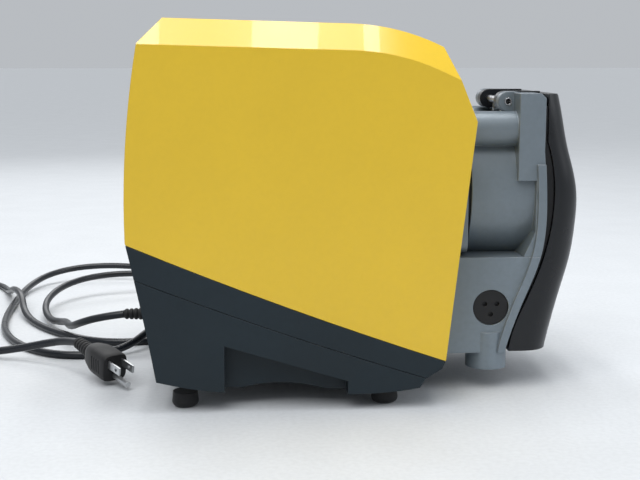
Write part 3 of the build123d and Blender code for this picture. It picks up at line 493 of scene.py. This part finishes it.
def add_arm_springs():
    """A torsion spring coiled round each arm's pivot pin."""
    curve = bpy.data.curves.new("torsion_springs", "CURVE")
    curve.dimensions = "3D"
    curve.bevel_depth = SPRING_WIRE / 2
    curve.bevel_resolution = 3
    for turn in PIVOT_TURNS:
        centre = ROTOR_AXIS + PIVOT_ORBIT * Vector((0, cos(turn), sin(turn)))
        coil = []
        for i in range(SPRING_STEPS + 1):
            share = i / SPRING_STEPS
            angle = turn + share * SPRING_TURNS * 2 * pi
            across = SPRING_R * Vector((0, cos(angle), sin(angle)))
            coil.append(centre + across + Vector((SPRING_START + share * SPRING_LENGTH, 0, 0)))
        spline = curve.splines.new("POLY")
        spline.points.add(len(coil) - 1)
        for point, place in zip(spline.points, coil):
            point.co = (*place, 1)
    curve.materials.append(turned_steel)
    springs = bpy.data.objects.new("torsion_springs", curve)
    bpy.context.scene.collection.objects.link(springs)
    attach(springs, "rotor")
    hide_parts("arm_springs")


add_arm_springs()

# ---------------------------------------------------------------- control panel
PANEL_ORIGIN = Vector((0.0725, 0, 0.24975))
PANEL_NORMAL = Vector((55.5, 0, 23)).normalized()
panel_place = frame_at(PANEL_ORIGIN, PANEL_NORMAL, Y_AXIS)
KEY_SPOTS = {
    "start": (14, 9.5), "stop": (37, 9.5), "up": (60, 9.5), "mode": (14, -9.5), "reverse": (37, -9.5),
    "down": (60, -9.5),
}
KEY_TOP = 1.15 * MM
MARK_DEPTH = 0.2 * MM


def circle_outline(radius, steps=32):
    return [(radius * cos(2 * pi * i / steps), radius * sin(2 * pi * i / steps)) for i in range(steps)]


KEY_MARKS = {
    "start": [[(-2.0, -2.6), (2.8, 0), (-2.0, 2.6)]],
    "stop": [[(-2.1, -2.1), (2.1, -2.1), (2.1, 2.1), (-2.1, 2.1)]],
    "up": [[(-2.8, -1.6), (2.8, -1.6), (0, 2.6)]],
    "mode": [circle_outline(2.2)],
    "reverse": [[(-0.5, -2.2), (-0.5, 2.2), (-4.0, 0)], [(0.5, -2.2), (4.0, 0), (0.5, 2.2)]],
    "down": [[(-2.8, 1.6), (0, -2.6), (2.8, 1.6)]],
}


def on_panel(u, v, height):
    """The matrix of a spot on the panel: u across it and v up it in mm, height above it in metres."""
    return panel_place @ Matrix.Translation((u * MM, v * MM, height))


for key_name, outlines in KEY_MARKS.items():
    builder = bmesh.new()
    for outline in outlines:
        prism(builder, on_panel(*KEY_SPOTS[key_name], KEY_TOP), metres(outline), MARK_DEPTH)
    piece_from(f"mark_{key_name}", builder, mark_white, f"key_{key_name}", smooth=False)


def rounded_outline(width, height, corner, steps=6):
    """A rectangle with rounded corners, as points in order."""
    points = []
    for i, (sx, sy) in enumerate(((1, 1), (-1, 1), (-1, -1), (1, -1))):
        for step in range(steps + 1):
            turn = pi / 2 * (i + step / steps)
            x = sx * (width / 2 - corner) + corner * cos(turn)
            y = sy * (height / 2 - corner) + corner * sin(turn)
            points.append((x, y))
    return points


def flat_ring(builder, placed, outer, inner, depth):
    """A band between two outlines of the same number of points, raised along the matrix's Z."""
    edges = ((outer, 0), (outer, depth), (inner, depth), (inner, 0))
    rows = [[builder.verts.new(placed @ Vector((x, y, z))) for x, y in outline] for outline, z in edges]
    bridge(builder, [*rows, rows[0]])


LCD_FACE = -5.65 * MM  # below the panel's face
LCD_THICK = 0.2 * MM
LCD_MARGIN = 3.5
WINDOW_SIZE = (62, 28)
WINDOW_AT = (-37, 0)
BEZEL_INNER, BEZEL_OUTER = 1.4, 5.0  # how much wider than the window, both sides together
BEZEL_DEPTH = 0.35 * MM
SHOWN_DIGITS = (2, 5, 0)
DIGIT_PITCH = 10
DIGIT_HALF = 3.1
DIGIT_DEPTH = 0.12 * MM
SEGMENT_LONG, SEGMENT_THIN = 5.0, 1.3
SEGMENTS = {2: "abged", 5: "afgcd", 0: "abcdef"}
SEGMENT_PLACE = {
    "a": (0, 2, True), "b": (1, 1, False), "c": (1, -1, False), "d": (0, -2, True), "e": (-1, -1, False),
    "f": (-1, 1, False), "g": (0, 0, True),
}


def window_outline(extra, corner):
    """The window's outline, larger than the window by extra mm."""
    width, height = WINDOW_SIZE
    return rounded_outline((width + extra) * MM, (height + extra) * MM, corner * MM)


def add_digit(builder, digit, column):
    for segment in SEGMENTS[digit]:
        centre_u, centre_v, along_u = SEGMENT_PLACE[segment]
        u = WINDOW_AT[0] + (column - 1) * DIGIT_PITCH + centre_u * DIGIT_HALF
        v = WINDOW_AT[1] + centre_v * DIGIT_HALF
        width, height = (SEGMENT_LONG, SEGMENT_THIN) if along_u else (SEGMENT_THIN, SEGMENT_LONG)
        outline = rounded_outline(width * MM, height * MM, 0.6 * MM, 3)
        prism(builder, on_panel(u, v, LCD_FACE + LCD_THICK), outline, DIGIT_DEPTH)


def add_display():
    """The liquid-crystal plate behind the window, its digits, and the raised border."""
    builder = bmesh.new()
    prism(builder, on_panel(*WINDOW_AT, LCD_FACE), window_outline(-2 * LCD_MARGIN, 1), LCD_THICK)
    piece_from("lcd_plate", builder, lcd_green, "root", smooth=False)
    builder = bmesh.new()
    for column, digit in enumerate(SHOWN_DIGITS):
        add_digit(builder, digit, column)
    piece_from("lcd_digits", builder, black_plastic, "root", smooth=False)
    builder = bmesh.new()
    outer = window_outline(BEZEL_OUTER, 4)
    inner = window_outline(BEZEL_INNER, 2.6)
    flat_ring(builder, on_panel(*WINDOW_AT, 0), outer, inner, BEZEL_DEPTH)
    piece_from("window_bezel", builder, black_plastic, "root", smooth=False)


add_display()


# ---------------------------------------------------------------- screws and rear connectors
def hex_radius(across, turn):
    """Distance from the middle of a hexagon to its edge in one direction."""
    return across / 2 / cos((turn % (pi / 3)) - pi / 6)


def socket_screw(builder, placed, radius, height):
    """A domed screw head with a hexagonal socket."""
    steps = 24
    dome = ((0, 1), (0.55, 1), (0.85, 0.93), (1, 0.78))
    rows = [round_ring(placed, along * height, width * radius, steps) for along, width in dome]
    for along in (height, 0.35 * height):
        ring = []
        for i in range(steps):
            turn = 2 * pi * i / steps
            reach = hex_radius(radius * 0.95, turn)
            ring.append(placed @ Vector((reach * cos(turn), reach * sin(turn), along)))
        rows.append(ring)
    skin(builder, rows)


BAY_FACE = -0.161
SCREW_SINK = 0.1 * MM
builder = bmesh.new()
for y in (-0.063, 0.063):
    for z in (0.1215, 0.1965):
        socket_screw(builder, frame_at((BAY_FACE + SCREW_SINK, y, z), REARWARD), 3.2 * MM, 2.0 * MM)
piece_from("bay_screws", builder, plated_steel, "root")

CONNECTOR_ROWS = (0.178, 0.146)
CONNECTOR_MIDDLE = 0.002
STUD_OFFSET = 23.5 * MM
STUD_PROFILE = ((0, 2.7), (4.2, 2.7), (4.8, 2.2), (4.8, 1.4), (2.0, 1.4))  # hexagonal, with a hole in its end
builder = bmesh.new()
for z in CONNECTOR_ROWS:
    for side in (-1, 1):
        placed = frame_at((BAY_FACE - 1.4 * MM, CONNECTOR_MIDDLE + side * STUD_OFFSET, z), REARWARD)
        turned(builder, placed, metres(STUD_PROFILE), 6)
piece_from("connector_studs", builder, plated_steel, "root", smooth=False)

PIN_PROFILE = ((0, 0.5), (2.6, 0.5), (3.0, 0.25))
PIN_PITCH = 2.77 * MM
builder = bmesh.new()
for z in CONNECTOR_ROWS:
    for row, count in ((1.35, 9), (-1.35, 8)):
        for i in range(count):
            y = CONNECTOR_MIDDLE + (i - (count - 1) / 2) * PIN_PITCH
            placed = frame_at((BAY_FACE - 2.9 * MM, y, z + row * MM), REARWARD)
            turned(builder, placed, metres(PIN_PROFILE), 8)
piece_from("connector_pins", builder, gold_pins, "root")


# ---------------------------------------------------------------- floor
FLOOR_HALF = 25.0
floor_builder = bmesh.new()
for sx, sy in ((-1, -1), (1, -1), (1, 1), (-1, 1)):
    floor_builder.verts.new((sx * FLOOR_HALF, sy * FLOOR_HALF, 0))
floor_builder.faces.new(list(floor_builder.verts))
floor_mesh = bpy.data.meshes.new("floor")
floor_builder.to_mesh(floor_mesh)
floor_builder.free()
floor_mesh.materials.append(studio_floor)
floor = bpy.data.objects.new("floor", floor_mesh)
bpy.context.scene.collection.objects.link(floor)
